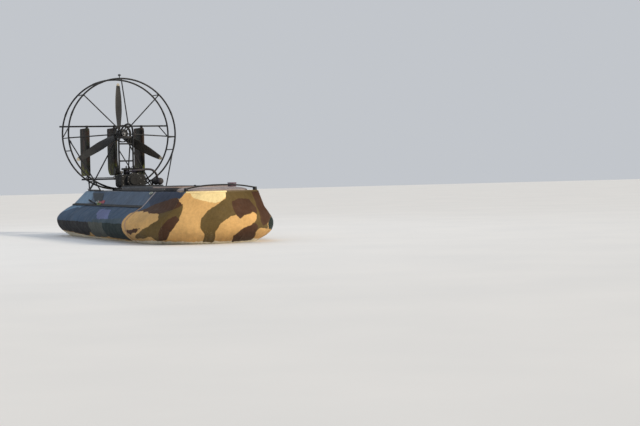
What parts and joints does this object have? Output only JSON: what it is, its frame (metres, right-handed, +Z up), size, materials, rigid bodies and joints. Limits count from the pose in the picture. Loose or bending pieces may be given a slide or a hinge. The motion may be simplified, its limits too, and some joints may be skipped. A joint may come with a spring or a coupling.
{
  "type": "open light hovercraft",
  "caption": "Open light hovercraft with an inflated bag skirt, a belt driven pusher propeller in a hoop guard, and rudders in its slipstream.",
  "frame": {"origin": "on the ground under the middle of the craft, level with the hem of the skirt and the bottom of the skids", "axes": "+Z up, -Y towards the bow, +X to port"},
  "size_m": [1.84, 5.05, 2.362],
  "materials": {
    "camo_hull": "hand painted green, brown and tan patches on the hull and deck, satin, weathered",
    "camo_skirt": "coated skirt fabric in tan, olive and brown patches",
    "black_frame": "black painted steel tube",
    "bare_steel": "bare turned steel",
    "engine_metal": "dark cast metal with oil film",
    "black_rubber": "black rubber",
    "rudder_skin": "dark laminate skin",
    "prop_composite": "black composite with pale tips",
    "deck_trim": "dark moulded edging",
    "foredeck_panel": "faded tan deck panel",
    "seat_vinyl": "black seat vinyl",
    "cockpit_moulding": "grey green moulding",
    "light_lens": "clear white lens",
    "exhaust_steel": "heat tinted steel with light rust",
    "box_moulding": "dark moulded box",
    "skid_wear": "scuffed wear strip"
  },
  "bodies": {
    "craft": {"hull": "camo_hull", "deck": "camo_hull", "cockpit_coaming": "deck_trim", "skirt_bow": "camo_skirt", "skirt_port": "camo_skirt", "skirt_starboard": "camo_skirt", "skirt_stern": "camo_skirt", "rub_rail": "black_rubber", "landing_skid_port": "skid_wear", "landing_skid_starboard": "skid_wear", "guard_hoop_front": "black_frame", "guard_hoop_back": "black_frame", "guard_spokes": "black_frame", "top_light": "light_lens", "bearing_front": "engine_metal", "bearing_rear": "engine_metal", "pylon": "black_frame", "guard_strut_port": "black_frame", "guard_strut_starboard": "black_frame", "drive_belt": "black_rubber", "rudder_bar_top": "black_frame", "rudder_bar_bottom": "black_frame", "engine_bed": "black_frame", "engine_crankcase": "engine_metal", "engine_cylinders": "engine_metal", "engine_intake": "engine_metal", "engine_exhaust": "exhaust_steel", "fan_duct_lip": "deck_trim", "fan_mount": "black_frame", "fan_grille": "black_frame", "seat_base": "cockpit_moulding", "seat_cushion": "seat_vinyl", "seat_back": "seat_vinyl", "helm_console": "cockpit_moulding", "foredeck_cap": "foredeck_panel", "bow_rail": "black_frame", "foredeck_box": "box_moulding"},
    "propeller_unit": {"propeller": "prop_composite", "prop_shaft": "bare_steel", "driven_pulley": "engine_metal"},
    "drive_pulley": {"drive_pulley": "engine_metal"},
    "lift_fan": {"lift_fan": "prop_composite"},
    "rudder_centre": {"rudder_centre": "rudder_skin"},
    "rudder_port": {"rudder_port": "rudder_skin"},
    "rudder_starboard": {"rudder_starboard": "rudder_skin"},
    "tie_rod": {"rudder_tie_rod": "black_frame"},
    "steering": {"steering_bar": "black_frame"}
  },
  "joints": [
    {"name": "propeller_spin", "type": "hinge", "parent": "craft", "child": "propeller_unit", "pos_m": [0, 1.895, 1.48], "axis": [0, 1, 0], "continuous": true},
    {"name": "drive_pulley_spin", "type": "hinge", "parent": "craft", "child": "drive_pulley", "pos_m": [0, 1.735, 0.8], "axis": [0, 1, 0], "continuous": true},
    {"name": "lift_fan_spin", "type": "hinge", "parent": "craft", "child": "lift_fan", "pos_m": [0, 0.785, 0.56], "axis": [0, 0, 1], "continuous": true},
    {"name": "rudder_centre_turn", "type": "hinge", "parent": "craft", "child": "rudder_centre", "pos_m": [0, 2.145, 1.2], "axis": [0, 0, 1], "range_deg": [-28, 28]},
    {"name": "rudder_port_turn", "type": "hinge", "parent": "craft", "child": "rudder_port", "pos_m": [0.42, 2.145, 1.2], "axis": [0, 0, 1], "range_deg": [-28, 28]},
    {"name": "rudder_starboard_turn", "type": "hinge", "parent": "craft", "child": "rudder_starboard", "pos_m": [-0.42, 2.145, 1.2], "axis": [0, 0, 1], "range_deg": [-28, 28]},
    {"name": "tie_rod_swing", "type": "hinge", "parent": "rudder_centre", "child": "tie_rod", "pos_m": [0, 2.235, 0.842], "axis": [0, 0, 1], "range_deg": [-28, 28]},
    {"name": "steering_turn", "type": "hinge", "parent": "craft", "child": "steering", "pos_m": [0, -1.515, 0.614], "axis": [0, 0.669, 0.7433], "range_deg": [-28, 28]}
  ],
  "couplings": [
    {"joint": "drive_pulley_spin", "follows": "propeller_spin", "ratio": 2.1034},
    {"joint": "rudder_port_turn", "follows": "rudder_centre_turn", "ratio": 1},
    {"joint": "rudder_starboard_turn", "follows": "rudder_centre_turn", "ratio": 1},
    {"joint": "tie_rod_swing", "follows": "rudder_centre_turn", "ratio": -1},
    {"joint": "steering_turn", "follows": "rudder_centre_turn", "ratio": -1}
  ]
}
